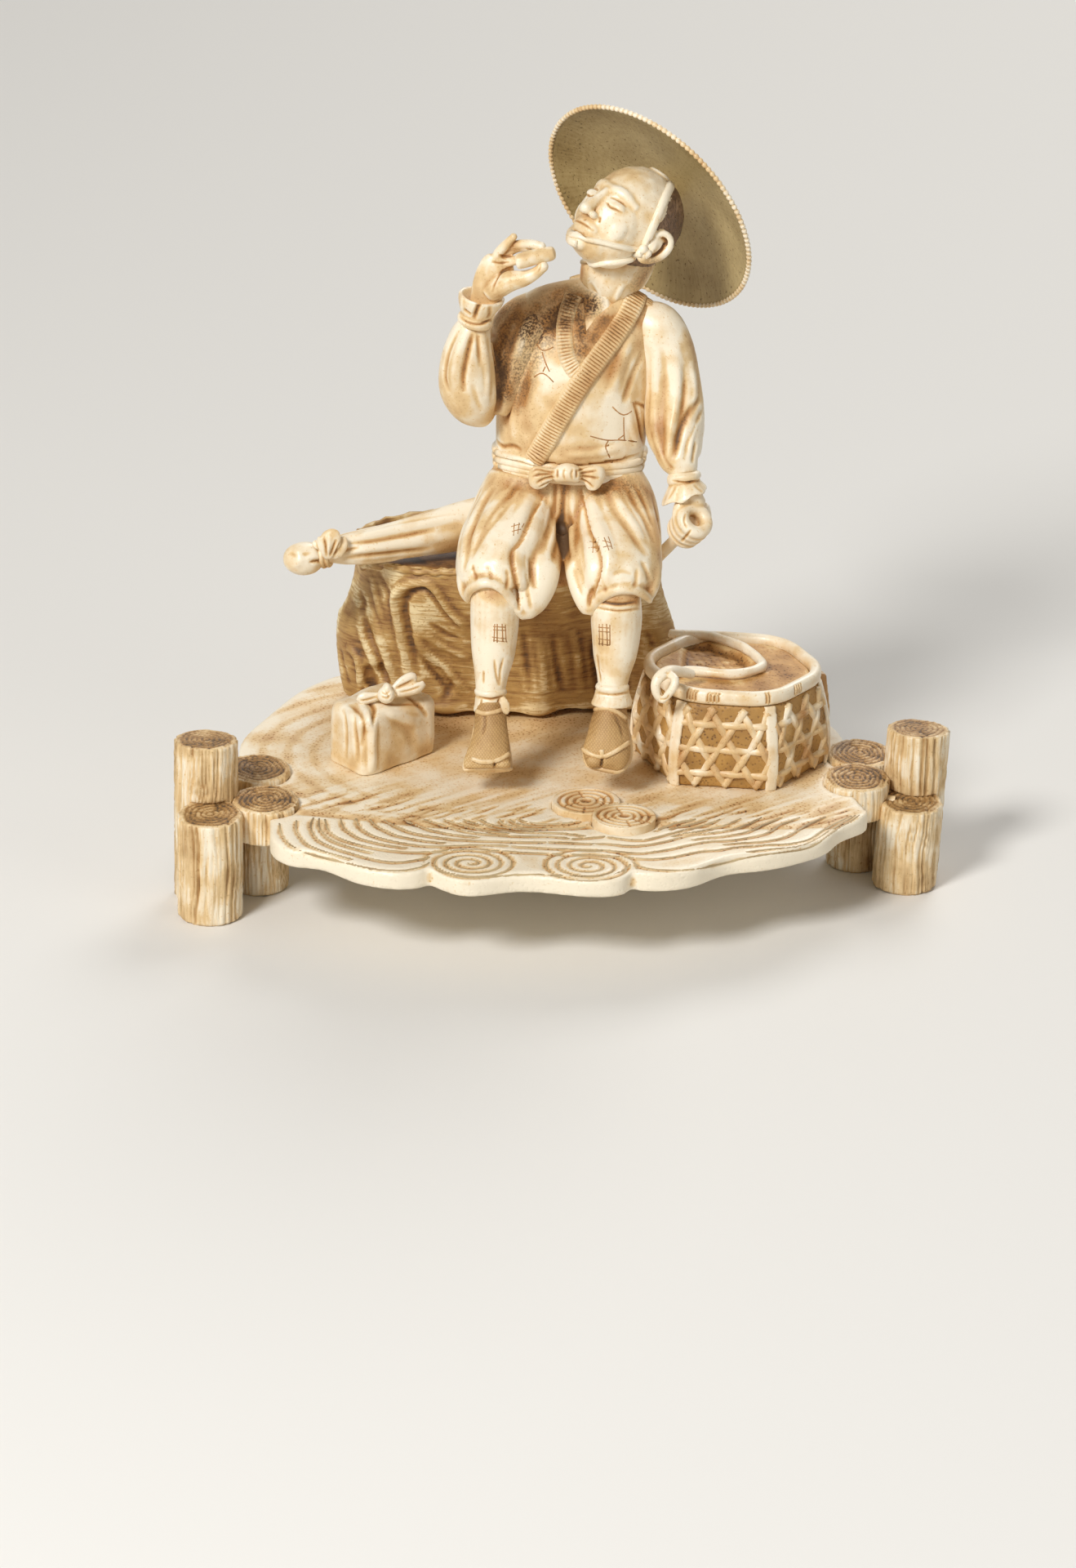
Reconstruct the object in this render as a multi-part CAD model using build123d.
"""A carved ivory okimono: a seated traveller on a tree stump, on a footed plate with his basket and bundles.

Lengths are millimetres. +X is the viewer's right, +Y goes away from the viewer, +Z is up.
Every carved piece is a solid of its own. Where two pieces meet, the one named earlier in
FITTING_ORDER keeps its full shape and the later one gets a socket, one glue line wider.
Tables whose names end in shares hold plain fractions of the named sizes beside them.
"""

from build123d import *
from math import cos, pi, radians, sin
import os

# Joints and cuts
glue_gap = 0.03
cut_overrun = 1.0
thick_pin_radius = 1.5
thin_pin_radius = 0.7
thin_pin_depth = 2.2
post_dowel_radius = 1.1
post_dowel_depth = 2.4

# Base plate, one slice of the tusk with a scalloped front
plate_half_wide = 62.5
plate_half_deep = 56.0
plate_back = 1.5
plate_thick = 4.1
plate_clear = 16.5

# Posts and logs
tall_post_radius = 6.0
short_post_radius = 6.1
post_sideways = 70.2
left_tall_high = 33.2
left_short_high = 21.5
right_tall_high = 30.6
right_short_high = 18.2
left_tall_back = -19.5
left_short_back = -29.0
right_tall_back = 0.7
right_short_back = -6.6
short_post_inset = 1.4
right_post_lean = 2.0
post_top_tilt = 4.0
log_radius = 6.3
log_drop = 2.0
log_rise = 1.3
left_log_sideways = 58.4
left_front_log_back = -22.3
left_rear_log_back = -6.6
rear_log_shift = 2.4
right_log_sideways = 58.0
right_front_log_back = -4.4
right_rear_log_back = 8.3
leg_radius = 5.6
left_leg_back = -14.6
right_leg_back = 3.4
leg_inset = 1.6
rear_leg_back = 43.0
rear_leg_sideways = 9.0
rear_leg_radius = 6.5

# The two log ends let into the plate
front_end_radius = 6.2
front_end_across = 11.7
front_end_back = -26.4
back_end_radius = 6.7
back_end_across = 4.3
back_end_back = -18.9
log_end_rise = 1.0
log_end_sink = 1.6

# Tree stump
stump_half_wide = 32.0
stump_half_deep = 16.0
stump_across = -13.0
stump_back = 33.0
stump_high = 35.0
stump_lift = 1.3
stump_foot_radius = 4.6
hollow_radius = 4.0
hollow_across = -39.5
hollow_back = 23.5
hollow_high = 8.0

# Bundle tied in a cloth
bundle_long = 17.4
bundle_wide = 14.6
bundle_high = 12.6
bundle_across = -36.3
bundle_back = 4.2
bundle_turn = 52.0
bundle_corner = 2.4
bundle_top_round = 2.2
knot_radius = 1.9
knot_ear_long = 5.2
knot_ear_radius = 1.5

# Basket
basket_radius = 19.7
basket_across = 33.0
basket_back = 8.3
basket_turn = -6.0
basket_high = 20.4
basket_corner = 3.4
rib_wide = 2.3
rib_proud = 0.6
rim_thick = 2.6
rim_high = 3.1
rim_round = 1.1
lashing_wide = 2.0
lashing_proud = 0.35
lid_sunk = 1.5
cord_radius = 1.0
toggle_radius = 1.5
toggle_long = 4.6
toggle_angle = -126.0
strap_wide = 4.2
strap_thick = 1.5
strap_high = 11.0
strap_angle = 18.0

# Long bag, lying across the stump behind the figure
bag_radius = 5.7
bag_length = 77.0
bag_left_across = -56.2
bag_left_back = 10.4
bag_left_high = 59.8
bag_rise = 3.4
bag_turn = 23.4
tie_radius = 3.5
tie_thick = 0.7
bow_radius = 2.5
bow_proud = 3.2

# Figure: trousers
waist_high = 79.4
waist_across = -0.8
waist_back = 18.4
waist_half_wide = 13.9
waist_half_deep = 8.4
hip_half_wide = 15.6
hip_half_deep = 10.2
seat_high = 56.6
thigh_radius = 8.6
left_knee_across = -12.6
right_knee_across = 8.7
knee_back = -1.2
knee_high = 61.0
knee_radius = 9.3
hem_high = 51.6
hem_back = -2.6

# Figure: legs and feet
shin_radius = 4.9
ankle_radius = 2.9
left_ankle_across = -14.3
right_ankle_across = 9.2
ankle_back = -8.6
ankle_high = 41.0
shin_top_high = 58.0
foot_length = 14.6
foot_drop_angle = 60.0
foot_half_wide = 4.7
foot_half_thick = 2.5
sandal_thick = 1.1
sandal_margin = 0.35
ankle_cuff_radius = 3.7
ankle_cuff_high = 3.0
right_foot_gap = 0.8

# Figure: jacket, sash and collars
jacket_half_wide = 15.4
jacket_half_deep = 8.8
jacket_high = 37.0
jacket_lean = 7.6
collar_thick = 0.9
collar_wide = 6.0
inner_collar_wide = 4.6
under_collar_thick = 0.45
sash_thick = 1.0
sash_wide = 4.0
bow_knot_radius = 1.9
bow_loop_long = 4.4
bow_loop_radius = 1.9

# Figure: sleeves, cuffs and hands
raised_shoulder_across = -8.0
raised_shoulder_back = 19.0
raised_shoulder_high = 107.6
raised_elbow_across = -18.6
raised_elbow_back = 13.4
raised_elbow_high = 94.6
raised_wrist_across = -18.4
raised_wrist_back = 7.4
raised_wrist_high = 112.2
raised_sleeve_radius = 7.4
lowered_shoulder_across = 16.2
lowered_shoulder_back = 19.2
lowered_shoulder_high = 106.8
lowered_wrist_across = 22.0
lowered_wrist_back = 8.2
lowered_wrist_high = 81.0
lowered_sleeve_radius = 6.6
lowered_elbow_out = 4.4
lowered_elbow_back = 0.6
wrist_ring_radius = 3.7
wrist_ring_high = 1.5
cuff_radius = 4.7
cuff_high = 4.6
frill_radius = 5.6
frill_high = 3.0
LOWERED_WAY_SHARES = (0.18, -0.20, -1.0)
RAISED_WAY_SHARES = (0.50, -0.12, 0.86)
RAISED_PALM_ACROSS_SHARES = (0.86, 0.0, -0.5)
HELD_WAY_SHARES = (0.97, -0.12, 0.14)
ANKLE_PIN_WAY_SHARES = (0.0, -0.3, -1.0)
palm_half_wide = 3.6
palm_half_thick = 1.9
finger_radius = 1.05
held_radius = 1.45
held_long = 8.6
fist_radius = 4.1
fist_across = 24.1
fist_back = 5.6
fist_high = 71.3
fist_bore_radius = 1.55
staff_radius = 1.2
staff_end_across = 12.6
staff_end_back = 22.4
staff_end_high = 51.6

# Figure: head and hat
head_across = 9.2
head_back = 18.0
head_high = 129.4
head_half_wide = 7.7
head_half_high = 10.4
head_half_deep = 9.4
head_yaw = -44.0
head_pitch = 40.0
head_roll = 8.0
neck_radius = 5.3
nose_long = 4.6
nose_proud = 1.9
nose_radius = 1.15
ear_high = 5.4
ear_wide = 3.2
ear_thick = 1.5
hair_thick = 0.5
hair_tip = 20.0
hat_radius = 24.3
hat_across = 13.9
hat_back = 33.9
hat_high = 126.5
hat_dish = 5.4
hat_thick = 1.5
hat_turn = 50.0
hat_tip = 24.7
hat_cord_wide = 1.5
hat_cord_proud = 0.85
chin_cord_tip = -24.0
temple_cord_tip = 6.0
hat_peg_radius = 3.0

# Heights and places worked out from the sizes above
plate_top = plate_clear + plate_thick
stump_top = plate_top + stump_high
rim_level = plate_top + basket_high


def point(across, back, high):
    """A place, from its three measures."""
    return Vector(across, back, high)


def facing(origin, direction, across=(1, 0, 0)):
    """A work plane at origin that looks along direction."""
    normal = Vector(*direction).normalized()
    side = Vector(*across)
    side = (side - normal * side.dot(normal)).normalized()
    return Plane(Vector(*origin), x_dir=side, z_dir=normal)


def oval(origin, direction, half_wide, half_deep, across=(1, 0, 0)):
    """An oval face, for lofts."""
    return (facing(origin, direction, across) * Ellipse(half_wide, half_deep)).face()


def limb(stations, across=(1, 0, 0), grow=0.0):
    """A rounded limb: a loft through ovals that stand square to its path."""
    faces = []
    for index, (place, half_wide, half_deep) in enumerate(stations):
        before = stations[max(index - 1, 0)][0]
        after = stations[min(index + 1, len(stations) - 1)][0]
        faces.append(oval(place, after - before, half_wide + grow, half_deep + grow, across))
    return loft(faces)


def stacked(stations, grow=0.0):
    """A body of level ovals, one above the other."""
    return loft([oval(place, (0, 0, 1), wide + grow, deep + grow) for place, wide, deep in stations])


def rod(start, end, radius, end_radius=None):
    """A round bar or a cone from one place to another."""
    way = end - start
    base = facing(start, way, (1, 0, 0) if abs(way.X) < abs(way.Z) + abs(way.Y) else (0, 1, 0))
    if end_radius is None:
        return base * Cylinder(radius, way.length, align=(Align.CENTER, Align.CENTER, Align.MIN))
    return base * Cone(radius, end_radius, way.length, align=(Align.CENTER, Align.CENTER, Align.MIN))


def ball(place, radius):
    """A sphere at a place."""
    return Pos(*place) * Sphere(radius)


def finger(places, radius):
    """A round-ended finger through the places given."""
    shape = ball(places[0], radius)
    for start, end in zip(places, places[1:]):
        shape = shape + rod(start, end, radius) + ball(end, radius)
    return shape


def biggest(shape):
    """The main solid of a cut piece, without its chips."""
    return max(shape.solids(), key=lambda solid: solid.volume)


def along(start, end, share, sideways=0.0, backwards=0.0):
    """A place part of the way from start to end, moved off the line."""
    return start + (end - start) * share + Vector(sideways, backwards, 0)


# Base plate

LEFT_LOBE_SHARES = (
    (-0.909, -0.657), (-0.888, -0.738), (-0.832, -0.796), (-0.766, -0.811), (-0.706, -0.850),
    (-0.645, -0.914), (-0.578, -0.952), (-0.504, -0.968), (-0.446, -0.955), (-0.410, -0.921),
)
MIDDLE_LOBE_SHARES = (
    (-0.410, -0.921), (-0.365, -0.970), (-0.314, -1.007), (-0.240, -1.002), (-0.168, -0.973),
    (-0.094, -0.963), (-0.006, -0.979), (0.088, -0.993), (0.184, -0.966), (0.205, -0.913),
)
RIGHT_LOBE_SHARES = (
    (0.205, -0.913), (0.253, -0.932), (0.322, -0.927), (0.398, -0.891), (0.461, -0.823),
    (0.517, -0.777), (0.594, -0.750), (0.672, -0.713), (0.750, -0.655), (0.824, -0.573),
    (0.864, -0.484), (0.914, -0.425), (0.947, -0.380), (0.954, -0.340),
)
BACK_EDGE_SHARES = (
    (0.954, -0.340), (0.918, -0.223), (0.905, 0.060), (0.905, 0.270), (0.874, 0.418), (0.744, 0.640),
    (0.592, 0.790), (0.384, 0.910), (0.128, 0.975), (-0.128, 0.985), (-0.384, 0.955),
    (-0.592, 0.905), (-0.744, 0.820), (-0.864, 0.664), (-0.973, 0.384), (-1.040, 0.146),
    (-1.020, -0.060), (-0.950, -0.250), (-0.918, -0.480), (-0.909, -0.657),
)


def plate_edge(shares):
    """One smooth stretch of the plate's outline."""
    return Spline(*[(x * plate_half_wide, plate_back + y * plate_half_deep) for x, y in shares])


def base_plate():
    """The scalloped slice that everything stands on."""
    lobes = (LEFT_LOBE_SHARES, MIDDLE_LOBE_SHARES, RIGHT_LOBE_SHARES, BACK_EDGE_SHARES)
    outline = make_face([plate_edge(shares) for shares in lobes])
    return Pos(0, 0, plate_clear) * extrude(outline, plate_thick)


def upright(across, back, bottom, top, radius, lean=0.0, tilt=0.0):
    """A log that stands on its sawn end, with a slightly slanting top."""
    length = top - bottom
    log = Cylinder(radius, length + radius, align=(Align.CENTER, Align.CENTER, Align.MIN))
    saw = Pos(0, 0, length) * Rot(tilt, 0, 0) * Box(
        radius * 4, radius * 4, radius * 2, align=(Align.CENTER, Align.CENTER, Align.MIN))
    log = log - saw
    leaned = Rot(0, lean, 0) * log
    ground = Box(radius * 6, radius * 6, radius, align=(Align.CENTER, Align.CENTER, Align.MAX))
    return Pos(across, back, bottom) * (leaned - ground)


def left_tall_post():
    return upright(-post_sideways, left_tall_back, 0, left_tall_high, tall_post_radius, tilt=-post_top_tilt)


def left_short_post():
    across = -post_sideways + short_post_inset
    return upright(across, left_short_back, 0, left_short_high, short_post_radius, tilt=post_top_tilt)


def right_tall_post():
    across = post_sideways - right_tall_high * sin(radians(right_post_lean))
    return upright(across, right_tall_back, 0, right_tall_high, tall_post_radius, right_post_lean,
                   -post_top_tilt)


def right_short_post():
    across = post_sideways - short_post_inset - right_short_high * sin(radians(right_post_lean))
    return upright(across, right_short_back, 0, right_short_high, short_post_radius, right_post_lean,
                   post_top_tilt)


def edge_log(across, back):
    """A short log end held in a bite of the plate's edge."""
    return upright(across, back, plate_clear - log_drop, plate_top + log_rise, log_radius, tilt=post_top_tilt)


def left_front_log():
    return edge_log(-left_log_sideways, left_front_log_back)


def left_rear_log():
    return edge_log(-left_log_sideways - rear_log_shift, left_rear_log_back)


def right_front_log():
    return edge_log(right_log_sideways, right_front_log_back)


def right_rear_log():
    return edge_log(right_log_sideways + rear_log_shift / 2, right_rear_log_back)


def left_leg():
    across = -left_log_sideways - leg_inset
    return upright(across, left_leg_back, 0, plate_clear - log_drop, leg_radius)


def right_leg():
    across = right_log_sideways + leg_inset / 2
    return upright(across, right_leg_back, 0, plate_clear - log_drop, leg_radius)


def rear_leg():
    """The hidden support under the back of the plate, two logs side by side."""
    pair = None
    for side in (-1, 1):
        log = upright(side * rear_leg_sideways, rear_leg_back, 0, plate_clear, rear_leg_radius)
        pair = log if pair is None else pair + log
    bridge = Pos(0, rear_leg_back, plate_clear / 2) * Box(rear_leg_sideways * 2, rear_leg_radius, plate_clear)
    return pair + bridge


def centre_log_end():
    return upright(back_end_across, back_end_back, plate_top - log_end_sink, plate_top + log_end_rise,
                   back_end_radius)


def right_log_end():
    return upright(front_end_across, front_end_back, plate_top - log_end_sink,
                   plate_top + log_end_rise * 1.2, front_end_radius)


def post_dowels():
    """Level dowels that hold the outer posts to the edge logs."""
    level = plate_clear + plate_thick / 2 - log_drop / 2
    pairs = (
        ((-post_sideways, left_tall_back), (-left_log_sideways, left_front_log_back)),
        ((post_sideways, right_tall_back), (right_log_sideways + rear_log_shift / 2, right_rear_log_back)),
        ((post_sideways - short_post_inset, right_short_back), (right_log_sideways, right_front_log_back)),
    )
    dowels = []
    for (x, y), (log_x, log_y) in pairs:
        middle = (Vector(x, y, level) + Vector(log_x, log_y, level)) / 2
        way = (Vector(log_x, log_y, level) - Vector(x, y, level)).normalized()
        start, end = middle - way * post_dowel_depth, middle + way * post_dowel_depth
        dowels.append(rod(start, end, post_dowel_radius))
    return Compound(children=[biggest(dowel) for dowel in dowels])


# Tree stump

STUMP_LEVEL_SHARES = (0.0, 0.28, 0.62, 1.0)
STUMP_RADIUS_SHARES = (
    (1.20, 1.02, 0.96, 0.98, 1.00, 1.02, 1.00, 0.92, 0.60, 0.52, 0.56, 0.66),
    (1.16, 1.02, 0.98, 1.00, 1.02, 1.04, 1.04, 0.96, 0.68, 0.62, 0.66, 0.72),
    (1.04, 1.02, 1.00, 1.02, 1.04, 1.02, 1.03, 0.98, 0.92, 0.84, 0.82, 0.86),
    (1.00, 1.03, 0.96, 1.00, 1.05, 0.98, 0.93, 1.00, 1.06, 1.08, 1.06, 1.00),
)
STUMP_FOOT_SHARES = ((-0.74, 0.08), (0.72, 0.30), (-0.05, 0.55))


def tree_stump():
    """The stump: four bumpy outlines, one above the other, on three root feet."""
    foot_level = plate_top + stump_lift
    faces = []
    for level, radii in zip(STUMP_LEVEL_SHARES, STUMP_RADIUS_SHARES):
        places = []
        for index, share in enumerate(radii):
            turn = 2 * pi * index / len(radii)
            places.append((stump_half_wide * share * cos(turn), stump_half_deep * share * sin(turn)))
        high = foot_level + (stump_top - foot_level) * level
        outline = make_face(Spline(*places, periodic=True))
        faces.append(Pos(stump_across, stump_back, high) * outline)
    stump = loft([face.face() for face in faces])
    for across_share, back_share in STUMP_FOOT_SHARES:
        foot = Pos(stump_across + across_share * stump_half_wide, stump_back + back_share * stump_half_deep,
                   plate_top) * Cylinder(stump_foot_radius, stump_lift + cut_overrun,
                                         align=(Align.CENTER, Align.CENTER, Align.MIN))
        stump = stump + foot
    hollow = ball((hollow_across, hollow_back, plate_top + hollow_high), hollow_radius)
    return stump - hollow


# Bundle

def bundle():
    """A cloth-wrapped box, a little narrower at the top, with soft corners."""
    block = Box(bundle_long, bundle_wide, bundle_high, align=(Align.CENTER, Align.CENTER, Align.MIN))
    block = fillet(block.edges().filter_by(Axis.Z), bundle_corner)
    block = fillet(block.faces().sort_by(Axis.Z)[-1].edges(), bundle_top_round)
    return Pos(bundle_across, bundle_back, plate_top) * Rot(0, 0, bundle_turn) * block


KNOT_EAR_SHARES = ((-1.0, -0.25, 0.10), (0.80, 0.10, 0.62), (1.0, -0.05, 0.12))


def bundle_knot():
    """The tied cloth ends on top: a round knot with three ears."""
    middle = point(bundle_across, bundle_back, plate_top + bundle_high + knot_radius * 0.6)
    knot = ball(middle, knot_radius)
    for x, y, z in KNOT_EAR_SHARES:
        tip = middle + Vector(x, y, z) * knot_ear_long
        knot = knot + rod(middle, tip, knot_ear_radius * 0.6, knot_ear_radius) + ball(tip, knot_ear_radius)
    return knot


# Basket

BASKET_LEVEL_SHARES = (0.0, 0.28, 0.68, 1.0)
BASKET_WIDTH_SHARES = (0.985, 1.02, 1.0, 0.955)
BASKET_CORNER_SHARES = (1.0, 1.3, 2.1, 3.2)


def basket_outline(share, corner, grow=0.0):
    """The basket's plan at one level: a hexagon with round corners."""
    size = basket_radius * share + grow
    return fillet(RegularPolygon(size, 6).vertices(), basket_corner * corner)


def basket_shell(grow=0.0):
    """The basket's woven body, bulging low down and drawn in under the rim."""
    faces = []
    for level, share, corner in zip(BASKET_LEVEL_SHARES, BASKET_WIDTH_SHARES, BASKET_CORNER_SHARES):
        high = level * (basket_high - rim_high)
        faces.append((Pos(0, 0, high) * basket_outline(share, corner, grow)).face())
    return loft(faces)


def in_basket(shape):
    """Moves a shape from the basket's own centre to its place on the plate."""
    return Pos(basket_across, basket_back, plate_top) * Rot(0, 0, basket_turn) * shape


def basket_body():
    return in_basket(basket_shell())


def basket_ribs():
    """Upright canes at the six corners."""
    skin = basket_shell(rib_proud) - basket_shell(glue_gap)
    ribs = []
    for index in range(6):
        blade = Rot(0, 0, 60 * index) * Pos(basket_radius, 0, 0) * Box(
            basket_radius, rib_wide, basket_high - rim_high - glue_gap,
            align=(Align.CENTER, Align.CENTER, Align.MIN))
        ribs.append(biggest(in_basket(skin & blade)))
    return Compound(children=ribs)


def rim_ring(grow=0.0):
    """The rim cane that goes round the mouth."""
    outer = basket_outline(BASKET_WIDTH_SHARES[-1], BASKET_CORNER_SHARES[-1], rib_proud + grow)
    inner = basket_outline(BASKET_WIDTH_SHARES[-1], BASKET_CORNER_SHARES[-1] * 0.8, rib_proud - rim_thick)
    return extrude(outer, rim_high + 2 * grow) - extrude(inner, rim_high + 2 * grow)


def basket_rim():
    """The rim cane, rounded on its four long edges."""
    ring = rim_ring()
    levels = ring.edges().group_by(Axis.Z)
    ring = fillet(levels[0] + levels[-1], rim_round)
    return in_basket(Pos(0, 0, basket_high - rim_high) * ring)


LASHING_ANGLES = (-96.0, -34.0, 26.0, 92.0, 152.0, 212.0)


def basket_lashings():
    """Flat bindings round the rim cane, one between each pair of ribs."""
    skin = Pos(0, 0, basket_high - rim_high - lashing_proud) * (rim_ring(lashing_proud) - Pos(
        0, 0, lashing_proud - glue_gap) * rim_ring(glue_gap))
    bands = []
    for angle in LASHING_ANGLES:
        blade = Rot(0, 0, angle) * Pos(basket_radius, 0, 0) * Box(
            basket_radius, lashing_wide, basket_high * 3)
        bands.append(biggest(in_basket(skin & blade)))
    return Compound(children=bands)


def basket_lid():
    """The woven top, sunk inside the rim."""
    plan = basket_outline(BASKET_WIDTH_SHARES[-1], BASKET_CORNER_SHARES[-1] * 0.8,
                          rib_proud - rim_thick - glue_gap)
    return in_basket(Pos(0, 0, basket_high - rim_high) * extrude(plan, rim_high - lid_sunk))


MOUTH_OUTLINE_SHARES = (
    (-0.50, 0.74), (-0.21, 0.72), (0.11, 0.44), (0.30, -0.02), (0.15, -0.24), (-0.04, -0.31), (-0.31, -0.26),
    (-0.54, -0.27),
)


def basket_mouth():
    """The cord that edges the mouth flap, lying on the sunk lid."""
    level = rim_level - lid_sunk + cord_radius
    places = [point(basket_across + x * basket_radius, basket_back + y * basket_radius, level)
              for x, y in MOUTH_OUTLINE_SHARES]
    return finger(places, cord_radius)


def basket_toggle():
    """The small hook knob that closes the mouth, leaning on the rim beside the front left rib."""
    reach = basket_radius * BASKET_WIDTH_SHARES[-1] + rib_proud
    out = Vector(1, 0, 0).rotate(Axis.Z, basket_turn + toggle_angle)
    middle = point(basket_across, basket_back, rim_level - rim_high / 2) + out * (reach - toggle_radius * 0.2)
    half = Vector(0, 0, toggle_long / 2)
    return finger([middle - half, middle + half], toggle_radius)


def basket_strap():
    """The carrying strap that shows at the basket's right side."""
    skin = basket_shell(strap_thick + rib_proud) - basket_shell(rib_proud + glue_gap)
    blade = Rot(0, 0, strap_angle) * Pos(basket_radius, 0, basket_high - rim_high) * Box(
        basket_radius, strap_wide, strap_high, align=(Align.CENTER, Align.CENTER, Align.MAX))
    return biggest(in_basket(skin & blade))


# Long bag

BAG_SHARES = (
    (0.000, 0.30), (0.018, 0.50), (0.060, 0.64), (0.105, 0.60), (0.132, 0.50), (0.150, 0.50), (0.180, 0.66),
    (0.300, 0.82), (0.480, 0.98), (0.700, 1.02), (0.860, 0.92), (0.950, 0.66), (1.000, 0.34),
)
TIE_SHARE = 0.141
BOW_SHARE = 0.150


def bag_place(share):
    """A place on the bag's middle line, which rises a little to the right."""
    start = point(bag_left_across, bag_left_back, bag_left_high)
    way = Vector(cos(radians(bag_turn)), sin(radians(bag_turn)), bag_rise / bag_length)
    return start + way * (bag_length * share)


def long_bag():
    stations = [(bag_place(share), bag_radius * size, bag_radius * size) for share, size in BAG_SHARES]
    return limb(stations, across=(0, 0, 1))


def bag_tie():
    """Two turns of cord that close the bag's neck."""
    way = bag_place(1) - bag_place(0)
    turns = []
    for side in (-1, 1):
        middle = bag_place(TIE_SHARE) + way.normalized() * (side * tie_thick * 1.1)
        turns.append(facing(middle, way, (0, 0, 1)) * Torus(tie_radius - tie_thick / 2, tie_thick))
    return turns[0] + turns[1] + rod(bag_place(TIE_SHARE) - way.normalized() * tie_thick,
                                     bag_place(TIE_SHARE) + way.normalized() * tie_thick, tie_radius)


def bag_bow():
    """The tied end that stands up beside the neck."""
    foot = bag_place(BOW_SHARE) + Vector(0, -tie_radius * 0.5, tie_radius * 0.6)
    top = foot + Vector(0, -bow_proud * 0.4, bow_proud)
    return rod(foot, top, bow_radius * 0.5, bow_radius) + ball(top, bow_radius)


# Trousers, legs and feet

def knee_place(side):
    across = left_knee_across if side < 0 else right_knee_across
    return point(across, knee_back, knee_high)


def ankle_place(side):
    across = left_ankle_across if side < 0 else right_ankle_across
    return point(across, ankle_back, ankle_high)


THIGH_SHARES = ((0.00, 0.86, 0.92), (0.35, 1.00, 1.00), (0.70, 1.06, 0.98), (1.00, 0.92, 0.84))
KNEE_SHARES = (
    (-1.00, 0.66, 0.62, -0.10), (-0.72, 0.92, 0.84, -0.06), (-0.30, 1.02, 0.92, -0.04),
    (0.20, 1.00, 0.92, 0.00), (0.62, 0.82, 0.80, 0.06), (0.92, 0.50, 0.50, 0.12),
)


def trouser_leg(side):
    """One full thigh, and the gathered bag of cloth that hangs over the knee."""
    knee = knee_place(side)
    hip = point(waist_across + side * hip_half_wide * 0.44, waist_back, seat_high + thigh_radius * 1.2)
    thigh = limb([(along(hip, knee, share), thigh_radius * wide, thigh_radius * deep)
                  for share, wide, deep in THIGH_SHARES])
    drop = knee_high - hem_high
    bag = stacked([(knee + Vector(0, knee_radius * back, drop * high), knee_radius * wide, knee_radius * deep)
                   for high, wide, deep, back in KNEE_SHARES])
    return thigh + bag


def trousers():
    """Baggy knee breeches: a seat, two full thighs and two gathered knees."""
    middle = point(waist_across, waist_back, 0)
    rise = waist_high - seat_high
    seat = stacked([
        (middle + Vector(0, 0, seat_high), hip_half_wide * 0.86, hip_half_deep * 0.80),
        (middle + Vector(0, 0, seat_high + rise * 0.2), hip_half_wide, hip_half_deep),
        (middle + Vector(0, 0, seat_high + rise * 0.6), hip_half_wide, hip_half_deep * 0.98),
        (middle + Vector(0, 0, waist_high), waist_half_wide, waist_half_deep),
    ])
    return seat + trouser_leg(-1) + trouser_leg(1)


def shin(side):
    """A bare-legginged shin, from inside the breeches to the ankle."""
    knee = knee_place(side)
    ankle = ankle_place(side)
    top = point(knee.X + (ankle.X - knee.X) * 0.1, hem_back * 0.9, shin_top_high)
    return limb([
        (top, shin_radius * 0.94, shin_radius * 0.94),
        (along(top, ankle, 0.36, 0, shin_radius * 0.10), shin_radius, shin_radius * 1.02),
        (along(top, ankle, 0.72), shin_radius * 0.82, shin_radius * 0.84),
        (ankle, ankle_radius, ankle_radius),
    ])


def left_shin():
    return shin(-1)


def right_shin():
    return shin(1)


def foot_way():
    """The way the toes point, hanging down and forward."""
    return Vector(0, -cos(radians(foot_drop_angle)), -sin(radians(foot_drop_angle)))


def sole_way():
    """The way the sole faces, square to the toes."""
    return Vector(0, sin(radians(foot_drop_angle)), -cos(radians(foot_drop_angle)))


FOOT_SHARES = (
    (0.0, 0.66, 1.16), (0.16, 0.74, 1.20), (0.42, 0.86, 1.10), (0.74, 1.02, 0.80), (0.93, 0.96, 0.62),
    (1.0, 0.74, 0.42),
)
SOLE_SHARES = ((-0.10, 0.62), (0.10, 0.80), (0.45, 0.86), (0.78, 1.02), (0.97, 0.94), (1.04, 0.70))


def foot(side):
    """A stockinged foot, hanging toes down."""
    heel = ankle_place(side) - Vector(0, 0, right_foot_gap if side > 0 else glue_gap)
    stations = []
    for share, wide, thick in FOOT_SHARES:
        sunk = sole_way() * (foot_half_thick * (1.2 - thick))
        stations.append((heel + foot_way() * (foot_length * share) + sunk, foot_half_wide * wide,
                         foot_half_thick * thick))
    return limb(stations)


def left_foot():
    return foot(-1)


def right_foot():
    return foot(1)


def sandal(side):
    """The straw sandal's sole, flat under the foot."""
    heel = ankle_place(side) + sole_way() * (foot_half_thick * 1.2 + sandal_thick / 2)
    stations = []
    for share, wide in SOLE_SHARES:
        stations.append((heel + foot_way() * (foot_length * share),
                         foot_half_wide * wide + sandal_margin, sandal_thick))
    return limb(stations)


def left_sandal():
    return sandal(-1)


def right_sandal():
    return sandal(1)


def ankle_cuffs():
    """The gathered legging ends above the feet."""
    cuffs = []
    for side in (-1, 1):
        ankle = ankle_place(side)
        cuff = limb([
            (ankle + Vector(0, 0, ankle_cuff_high), ankle_cuff_radius * 0.92, ankle_cuff_radius * 0.92),
            (ankle + Vector(0, 0, ankle_cuff_high * 0.5), ankle_cuff_radius * 0.96, ankle_cuff_radius * 0.96),
            (ankle, ankle_cuff_radius * 1.12, ankle_cuff_radius * 1.1),
        ])
        cuffs.append(cuff)
    return Compound(children=[biggest(cuff) for cuff in cuffs])


# Jacket, sash and collars

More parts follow.
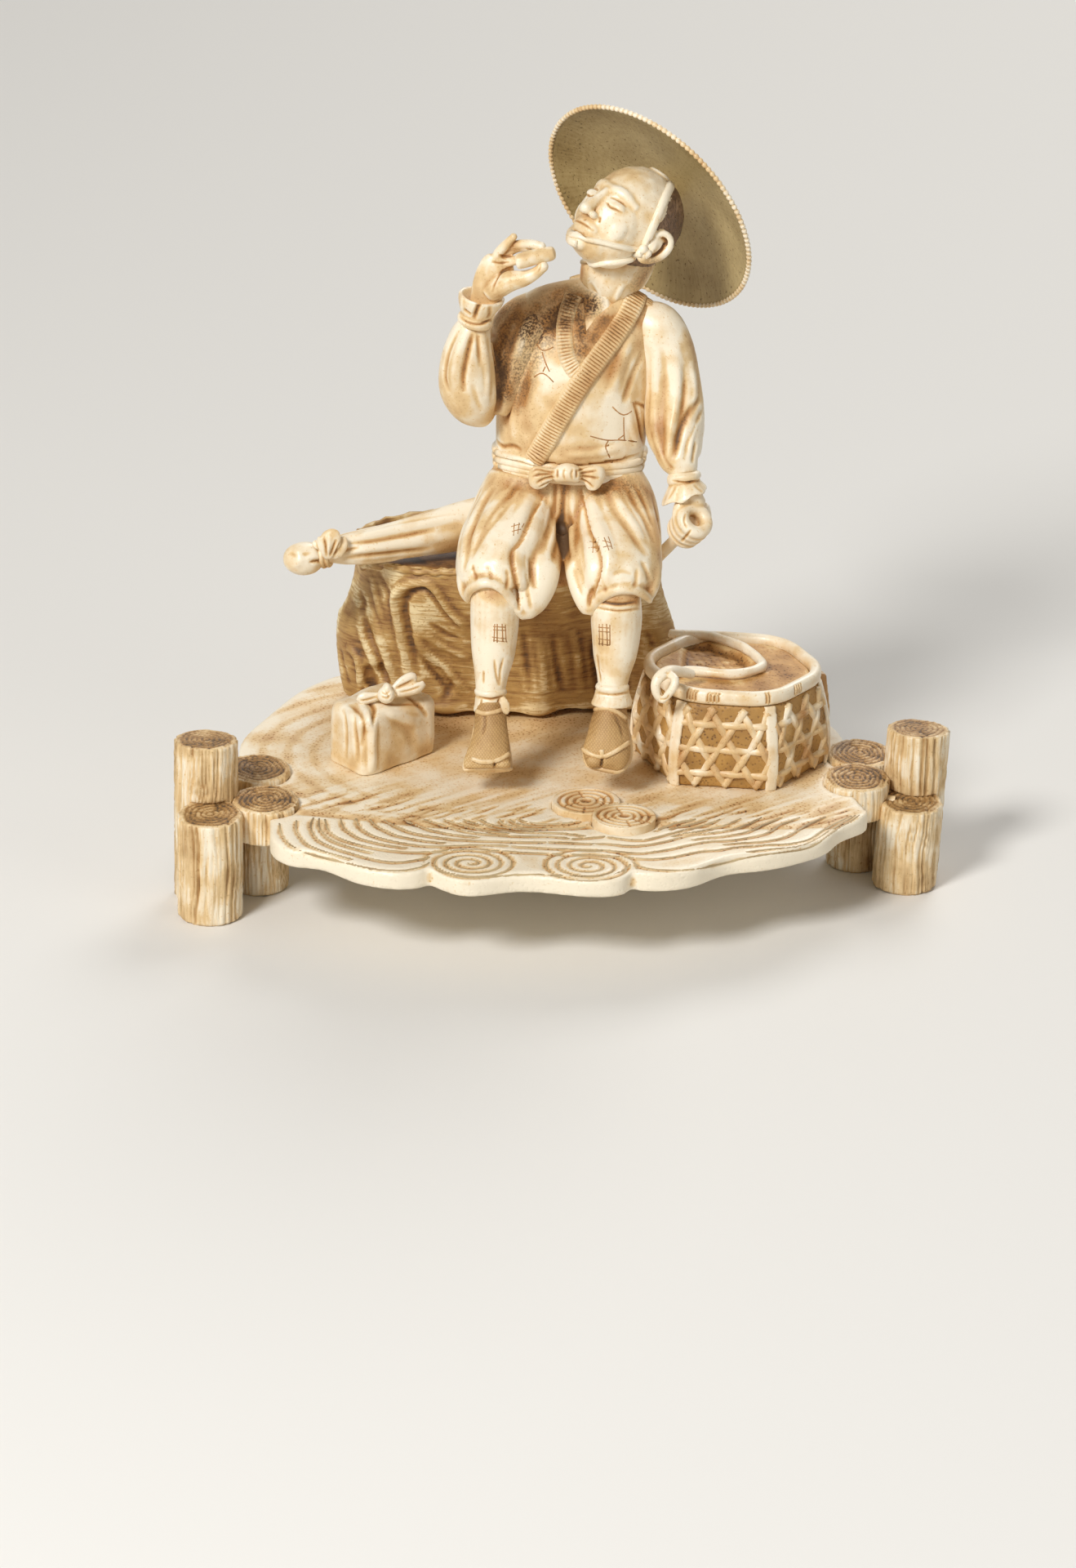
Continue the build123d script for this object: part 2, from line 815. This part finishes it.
JACKET_SHARES = (
    (0.00, 0.000, 0.93, 0.95, 0.00), (0.14, 0.04, 0.98, 1.00, 0.04), (0.38, 0.12, 1.01, 1.04, 0.08),
    (0.62, 0.24, 1.03, 1.00, 0.14), (0.82, 0.48, 0.98, 0.86, 0.20), (0.93, 0.80, 0.66, 0.70, 0.22),
    (1.00, 0.92, 0.42, 0.62, 0.20),
)


def jacket_block(grow=0.0):
    """The trunk of the jacket, leaning to the viewer's right towards the neck."""
    stations = []
    for high, lean, wide, deep, back in JACKET_SHARES:
        place = point(waist_across + jacket_lean * lean, waist_back + jacket_half_deep * back,
                      waist_high + jacket_high * high)
        stations.append((place, jacket_half_wide * wide, jacket_half_deep * deep))
    return stacked(stations, grow)


def jacket():
    return jacket_block()


COLLAR_TOP_SHARES = (0.42, 1.0)
COLLAR_FOOT_SHARES = (-0.52, 0.02)
INNER_COLLAR_TOP_SHARES = (-0.30, 0.97)
INNER_COLLAR_FOOT_SHARES = (0.20, 0.52)


def collar_strip(top_shares, foot_shares, wide):
    """A flat board that stands on the chest along a collar's line."""
    top = point(waist_across + jacket_lean + jacket_half_wide * top_shares[0], waist_back,
                waist_high + jacket_high * top_shares[1])
    foot_end = point(waist_across + jacket_half_wide * foot_shares[0], waist_back,
                     waist_high + jacket_high * foot_shares[1])
    way = top - foot_end
    middle = (top + foot_end) / 2
    board = facing(middle, way, (0, 1, 0)) * Pos(-jacket_half_deep, 0, 0) * Box(
        jacket_half_deep * 2, wide, way.length)
    return board


def collar_band():
    """The wide ribbed collar, from the neck down across the chest to the sash."""
    skin = jacket_block(collar_thick) - jacket_block(glue_gap)
    band = skin & collar_strip(COLLAR_TOP_SHARES, COLLAR_FOOT_SHARES, collar_wide)
    return biggest(band)


def inner_collar():
    """The ribbed collar on the other side, which goes under the wide one."""
    skin = jacket_block(collar_thick * 0.8) - jacket_block(glue_gap)
    return biggest(skin & collar_strip(INNER_COLLAR_TOP_SHARES, INNER_COLLAR_FOOT_SHARES, inner_collar_wide))


def under_collar():
    """The plain collar of the shirt, in the opening at the throat."""
    skin = jacket_block(under_collar_thick) - jacket_block(glue_gap)
    throat = point(waist_across + jacket_lean * 0.72, waist_back - jacket_half_deep,
                   waist_high + jacket_high * 0.86)
    plug = facing(throat, (0, 1, 0)) * Cylinder(inner_collar_wide, jacket_half_deep * 2)
    return biggest(skin & plug)


def sash_block(grow):
    """A short oval drum round the waist."""
    low = point(waist_across, waist_back, waist_high - sash_wide * 0.4)
    high = low + Vector(0, 0, sash_wide)
    return stacked([(low, waist_half_wide * 1.02 + grow, waist_half_deep * 1.02 + grow),
                    (high, jacket_half_wide * 0.96 + grow, jacket_half_deep * 0.97 + grow)])


def obi_sash():
    return sash_block(sash_thick)


def bow_place():
    return point(waist_across, waist_back - waist_half_deep - sash_thick, waist_high + sash_wide * 0.1)


BOW_LOOP_SHARES = ((-0.10, 0.50), (0.30, 0.56), (0.65, 0.86), (0.90, 1.00), (1.00, 0.72))


def obi_bow():
    """The sash's knot with a short ruffled loop on each side."""
    middle = bow_place()
    shape = ball(middle, bow_knot_radius)
    for side in (-1, 1):
        tip = middle + Vector(side * (bow_knot_radius + bow_loop_long), -bow_knot_radius * 0.1,
                              -bow_knot_radius * 0.5)
        stations = [(along(middle, tip, share), bow_loop_radius * wide, bow_loop_radius * wide * 0.8)
                    for share, wide in BOW_LOOP_SHARES]
        shape = shape + limb(stations, across=(0, 0, 1))
    return shape


# Sleeves, cuffs and hands

def raised_shoulder():
    return point(raised_shoulder_across, raised_shoulder_back, raised_shoulder_high)


def raised_elbow():
    return point(raised_elbow_across, raised_elbow_back, raised_elbow_high)


def raised_wrist():
    return point(raised_wrist_across, raised_wrist_back, raised_wrist_high)


RAISED_SLEEVE_SHARES = (
    (-0.32, -0.16, 0.40), (-0.20, -0.06, 0.76), (0.00, 0.04, 0.96), (0.30, 0.16, 0.98), (0.66, 0.16, 0.80),
)


def raised_sleeve():
    """The full sleeve of the arm that is bent up."""
    shoulder, elbow, wrist = raised_shoulder(), raised_elbow(), raised_wrist()
    size = raised_sleeve_radius
    upper = limb([
        (shoulder, size * 0.80, size * 0.86),
        (along(shoulder, elbow, 0.5, -size * 0.1), size * 0.94, size * 0.90),
        (elbow, size * 0.72, size * 0.80),
    ])
    fore = stacked([
        (along(elbow, wrist, high) + Vector(-size * out, 0, 0), size * wide, size * wide)
        for high, out, wide in RAISED_SLEEVE_SHARES if high < 1
    ] + [(wrist, wrist_ring_radius * 0.92, wrist_ring_radius * 0.92)])
    return upper + fore


def lowered_shoulder():
    return point(lowered_shoulder_across, lowered_shoulder_back, lowered_shoulder_high)


def lowered_wrist():
    return point(lowered_wrist_across, lowered_wrist_back, lowered_wrist_high)


LOWERED_SLEEVE_SHARES = (
    (0.00, 0.00, 0.90), (0.20, 0.52, 1.00), (0.45, 1.00, 0.98), (0.70, 0.90, 0.90), (0.90, 0.36, 0.66),
    (1.00, 0.00, 0.50),
)


def lowered_sleeve():
    """The sleeve of the arm that hangs, full at the elbow and gathered at the wrist."""
    shoulder, wrist = lowered_shoulder(), lowered_wrist()
    stations = []
    for share, out, size in LOWERED_SLEEVE_SHARES:
        place = along(shoulder, wrist, share, lowered_elbow_out * out * 0.5, lowered_elbow_back * out)
        stations.append((place, lowered_sleeve_radius * size, lowered_sleeve_radius * size * 0.98))
    return limb(stations)


def raised_hand_way():
    """The way from the raised wrist to the knuckles."""
    return Vector(*RAISED_WAY_SHARES)


def raised_cuff():
    """A wrist ring with a short flared cuff above it."""
    wrist = raised_wrist()
    up = Vector(0, 0, 1)
    ring = facing(wrist, up) * Cylinder(wrist_ring_radius + glue_gap, wrist_ring_high)
    flare = limb([
        (wrist + up * (wrist_ring_high * 0.4), wrist_ring_radius * 0.92, wrist_ring_radius * 0.92),
        (wrist + up * (cuff_high * 0.5), cuff_radius * 0.92, cuff_radius * 0.90),
        (wrist + up * cuff_high, cuff_radius, cuff_radius * 0.96),
    ])
    return ring + flare


def lowered_cuff():
    """A wrist ring with a frill below it."""
    wrist = lowered_wrist()
    down = Vector(*LOWERED_WAY_SHARES).normalized()
    ring = facing(wrist, down) * Cylinder(wrist_ring_radius * 0.92, wrist_ring_high)
    frill = limb([
        (wrist + down * (wrist_ring_high * 0.4), wrist_ring_radius * 0.86, wrist_ring_radius * 0.86),
        (wrist + down * (frill_high * 0.55), frill_radius * 0.70, frill_radius * 0.66),
        (wrist + down * frill_high, frill_radius, frill_radius * 0.84),
    ])
    return ring + frill


def palm_place():
    return raised_wrist() + raised_hand_way() * (cuff_high + palm_half_wide * 1.1)


def held_place(end):
    """An end of the short rod in the raised hand: -1 is the left end, 1 the right."""
    middle = palm_place() + Vector(palm_half_wide * 1.1, -palm_half_thick * 1.3, palm_half_wide * 0.75)
    return middle + Vector(*HELD_WAY_SHARES) * (end * held_long / 2)


def held_cylinder():
    return rod(held_place(-1), held_place(1), held_radius)


RAISED_FINGER_SHARES = (
    ((0.0, 0.0, 1.0), (0.15, 0.05, 1.45), (0.42, 0.05, 1.95)),
    ((0.5, 0.2, 0.9), (1.2, 0.35, 1.5), (2.1, 0.25, 1.45)),
    ((0.7, 0.0, 0.7), (1.5, 0.45, 1.2), (2.5, 0.25, 1.15)),
    ((0.6, -0.4, -0.9), (1.6, -0.6, -0.4), (2.5, -0.9, 0.1)),
)


def raised_hand():
    """An open hand with the fingers round the short rod and the little finger up."""
    wrist, palm = raised_wrist(), palm_place()
    way = raised_hand_way()
    shape = limb([
        (wrist + way * (cuff_high * 0.3), palm_half_wide * 0.66, palm_half_thick * 1.1),
        (along(wrist, palm, 0.72), palm_half_wide * 0.80, palm_half_thick * 1.1),
        (palm, palm_half_wide, palm_half_thick),
        (palm + way * (palm_half_wide * 0.9), palm_half_wide * 0.86, palm_half_thick * 0.8),
    ], across=RAISED_PALM_ACROSS_SHARES)
    for places in RAISED_FINGER_SHARES:
        joints = [palm + Vector(x, y, z) * palm_half_wide for x, y, z in places]
        shape = shape + finger(joints, finger_radius)
    return shape


def fist_place():
    return point(fist_across, fist_back, fist_high)


def staff_foot():
    return point(staff_end_across, staff_end_back, staff_end_high)


def staff():
    """The staff, from inside the fist down to its seat in the stump."""
    way = (fist_place() - staff_foot()).normalized()
    return rod(staff_foot(), fist_place() + way * (fist_radius * 0.1), staff_radius)


def lowered_hand():
    """A closed hand with a bore right through it for the staff."""
    wrist = lowered_wrist()
    middle = fist_place()
    shape = limb([
        (along(wrist, middle, 0.12), palm_half_wide * 0.62, palm_half_thick * 1.1),
        (along(wrist, middle, 0.48), palm_half_wide * 0.78, palm_half_thick * 1.3),
        (middle + Vector(0, 0, fist_radius * 0.40), fist_radius * 0.96, fist_radius * 0.86),
        (middle - Vector(0, 0, fist_radius * 0.25), fist_radius * 0.98, fist_radius * 0.90),
        (middle - Vector(0, 0, fist_radius * 0.80), fist_radius * 0.70, fist_radius * 0.66),
        (middle - Vector(0, 0, fist_radius * 1.08), fist_radius * 0.30, fist_radius * 0.30),
    ])
    way = (middle - staff_foot()).normalized()
    bore = rod(middle - way * (fist_radius * 2), middle + way * (fist_radius * 2), fist_bore_radius)
    return shape - bore


# Head and hat

def in_head(shape):
    """Turns and moves a shape from the head's own centre, face to -Y and crown up, to its place."""
    return Pos(head_across, head_back, head_high) * Rot(0, 0, head_yaw) * Rot(-head_pitch, 0, 0) * Rot(
        0, head_roll, 0) * shape


HEAD_SHARES = (
    (-1.00, 0.30, 0.22, -0.52), (-0.94, 0.50, 0.40, -0.50), (-0.70, 0.76, 0.66, -0.34),
    (-0.35, 0.92, 0.86, -0.10), (0.05, 1.00, 1.00, 0.02), (0.45, 0.97, 0.99, 0.06),
    (0.75, 0.76, 0.78, 0.06), (0.92, 0.46, 0.46, 0.06), (1.00, 0.14, 0.14, 0.06),
)


def skull(grow=0.0):
    """The head without its features: narrow at the chin, round at the crown."""
    stations = []
    for high, wide, deep, back in HEAD_SHARES:
        place = point(0, back * head_half_deep, high * head_half_high)
        stations.append((place, head_half_wide * wide, head_half_deep * deep))
    return stacked(stations, grow)


def ear(side):
    """A plain oval ear."""
    middle = point(side * head_half_wide * 0.98, head_half_deep * 0.06, -head_half_high * 0.16)
    return facing(middle, (side, 0, 0), (0, 1, 0)) * extrude(Ellipse(ear_wide / 2, ear_high / 2), ear_thick)


def head():
    """Head and neck in one piece, with a plain nose and ears; the neck's foot is a tenon."""
    neck_foot = point(waist_across + jacket_lean * 0.92, waist_back + jacket_half_deep * 0.2,
                      waist_high + jacket_high * 0.90)
    skull_middle = point(head_across, head_back, head_high)
    neck = limb([
        (neck_foot, neck_radius, neck_radius),
        (along(neck_foot, skull_middle, 0.5, neck_radius * 0.16), neck_radius * 0.96, neck_radius),
        (along(neck_foot, skull_middle, 0.9), neck_radius * 0.9, neck_radius * 0.9),
    ])
    bridge = point(0, -head_half_deep * 0.86, head_half_high * 0.10)
    tip = point(0, -head_half_deep * 0.90 - nose_proud, head_half_high * 0.10 - nose_long)
    nose = rod(bridge, tip, nose_radius * 0.6, nose_radius) + ball(tip, nose_radius)
    return in_head(skull() + nose + ear(-1) + ear(1)) + neck


def hair():
    """The close cap of hair over the back of the head."""
    cap = skull(hair_thick) - skull(glue_gap)
    back = Rot(hair_tip, 0, 0) * Pos(0, head_half_deep * 0.15, 0) * Box(
        head_half_wide * 4, head_half_deep * 4, head_half_high * 1.5,
        align=(Align.CENTER, Align.MIN, Align.CENTER))
    return in_head(biggest(cap & back))


def hat_way():
    """The way the hat's crown points: back, up and to the viewer's right."""
    flat = cos(radians(hat_tip))
    return Vector(flat * cos(radians(hat_turn)), flat * sin(radians(hat_turn)), sin(radians(hat_tip)))


HAT_PROFILE_SHARES = ((0.0, 1.0), (0.35, 0.90), (0.62, 0.68), (0.84, 0.36), (1.0, 0.0))


def hat():
    """A broad shallow straw hat, turned as one thin dish."""
    inner = [(radius * hat_radius, rise * hat_dish) for radius, rise in HAT_PROFILE_SHARES]
    outer = [(x, y + hat_thick * (1.0 - 0.5 * x / hat_radius)) for x, y in inner]
    edge_out, edge_in = outer[-1], inner[-1]
    section = make_face([
        Spline(*inner), Line(edge_in, edge_out), Spline(*reversed(outer)), Line(outer[0], inner[0]),
    ])
    spun = revolve(Plane.XZ * section, axis=Axis.Z)
    return facing(point(hat_across, hat_back, hat_high), hat_way(), (0, 0, 1)) * spun


def hat_peg():
    """The head ring's stub, which carries the hat on the back of the head."""
    seat = point(hat_across, hat_back, hat_high) + hat_way() * hat_dish
    head_middle = point(head_across, head_back, head_high)
    start = head_middle + (seat - head_middle) * 0.30
    return rod(start, start + (seat - head_middle).normalized() * hat_dish * 3, hat_peg_radius)


def hat_cord():
    """The tie: a band over the temples and one under the chin, meeting below each ear."""
    skin = skull(hat_cord_proud) - skull(glue_gap)
    chin = Rot(chin_cord_tip, 0, 0) * Pos(0, -head_half_deep, -head_half_high * 0.42) * Box(
        head_half_wide * 4, head_half_deep * 2.2, hat_cord_wide)
    temple = Rot(temple_cord_tip, 0, 0) * Pos(0, -head_half_deep * 0.12, head_half_high * 0.5) * Box(
        head_half_wide * 4, hat_cord_wide, head_half_high * 2.0)
    return in_head(skin & (chin + temple))


# Pins

def thick_pins():
    """Straight pins: stump to plate, breeches to stump, breeches to jacket, basket and bundle to plate."""
    places = (
        *[(stump_across + x * stump_half_wide, stump_back + y * stump_half_deep, plate_top)
          for x, y in STUMP_FOOT_SHARES[:2]],
        (waist_across - hip_half_wide * 0.3, waist_back + hip_half_deep * 0.3, stump_top),
        (waist_across + hip_half_wide * 0.3, waist_back + hip_half_deep * 0.3, stump_top),
        (waist_across, waist_back, waist_high),
        (basket_across, basket_back, plate_top),
        (bundle_across, bundle_back, plate_top),
    )
    half = Vector(0, 0, plate_thick * 0.75)
    return Compound(children=[
        biggest(rod(Vector(*place) - half, Vector(*place) + half, thick_pin_radius)) for place in places])


def thin_pins():
    """Fine pins at the wrists, ankles and shoulders."""
    pairs = (
        (raised_wrist(), Vector(0, 0, 1)),
        (lowered_wrist(), Vector(*LOWERED_WAY_SHARES).normalized()),
        (ankle_place(-1), Vector(*ANKLE_PIN_WAY_SHARES).normalized()),
        (ankle_place(1), Vector(*ANKLE_PIN_WAY_SHARES).normalized()),
    )
    return Compound(children=[
        biggest(rod(place - way * thin_pin_depth, place + way * thin_pin_depth, thin_pin_radius))
        for place, way in pairs])


# The pieces, in the order in which they keep their full shape: each one is cut by those before it
FITTING_ORDER = (
    thick_pins, thin_pins, post_dowels,
    left_short_post, right_short_post, left_tall_post, right_tall_post,
    left_front_log, right_front_log, left_rear_log, right_rear_log,
    left_leg, right_leg, rear_leg, right_log_end, centre_log_end, base_plate,
    bundle, bundle_knot,
    basket_body, basket_ribs, basket_rim, basket_lashings, basket_lid, basket_toggle, basket_mouth,
    basket_strap,
    staff, tree_stump,
    left_shin, right_shin, left_foot, right_foot, ankle_cuffs, left_sandal, right_sandal,
    trousers, long_bag, bag_tie, bag_bow,
    held_cylinder, lowered_hand, raised_hand, lowered_cuff, raised_cuff,
    hat, hat_peg, head, hat_cord, hair,
    jacket, obi_sash, obi_bow, collar_band, inner_collar, under_collar, lowered_sleeve, raised_sleeve,
)
PINS = (thick_pins, thin_pins, post_dowels)
CHIP_SHARE = 0.02


def pin_sockets():
    """Every pin again, one glue line fatter, to cut the holes that hold it."""
    sockets = []
    for maker in PINS:
        for pin in maker().solids():
            ends = pin.faces().filter_by(GeomType.PLANE)
            start, end = ends[0].center(), ends[1].center()
            radius = (pin.volume / (pi * (end - start).length)) ** 0.5
            step = (end - start).normalized() * glue_gap
            sockets.append(rod(start - step, end + step, radius + glue_gap))
    return sockets


def meet(one, two):
    """Whether two boxes meet."""
    return not (one.min.X > two.max.X or two.min.X > one.max.X or one.min.Y > two.max.Y
                or two.min.Y > one.max.Y or one.min.Z > two.max.Z or two.min.Z > one.max.Z)


def main_solids(shape):
    """The solids of a cut piece, without the chips that a cut leaves."""
    solids = shape.solids()
    largest = max(solid.volume for solid in solids)
    return [solid for solid in solids if solid.volume > largest * CHIP_SHARE]


def fitted_pieces():
    """Builds every piece and cuts it to fit against the pieces before it."""
    sockets = [(socket, socket.bounding_box()) for socket in pin_sockets()]
    done, finished = {}, []
    for maker in FITTING_ORDER:
        shape = maker()
        if maker not in PINS:
            box = shape.bounding_box()
            for cutter, cutter_box in sockets + finished:
                if meet(box, cutter_box):
                    shape = shape - cutter
        done[maker.__name__] = main_solids(shape)
        if maker not in PINS:
            finished += [(solid, solid.bounding_box()) for solid in done[maker.__name__]]
    return done


def write_pieces(pieces):
    """Sets the whole carving on its origin and writes one file for each piece."""
    whole = Compound(children=[solid for solids in pieces.values() for solid in solids]).bounding_box()
    middle = Pos(-(whole.min.X + whole.max.X) / 2, -(whole.min.Y + whole.max.Y) / 2, -whole.min.Z)
    os.makedirs("parts", exist_ok=True)
    for name, solids in pieces.items():
        shape = Compound(children=[middle * solid for solid in solids])
        export_step(shape, f"parts/{name}.step")
    print("moved by", middle.position)


write_pieces(fitted_pieces())
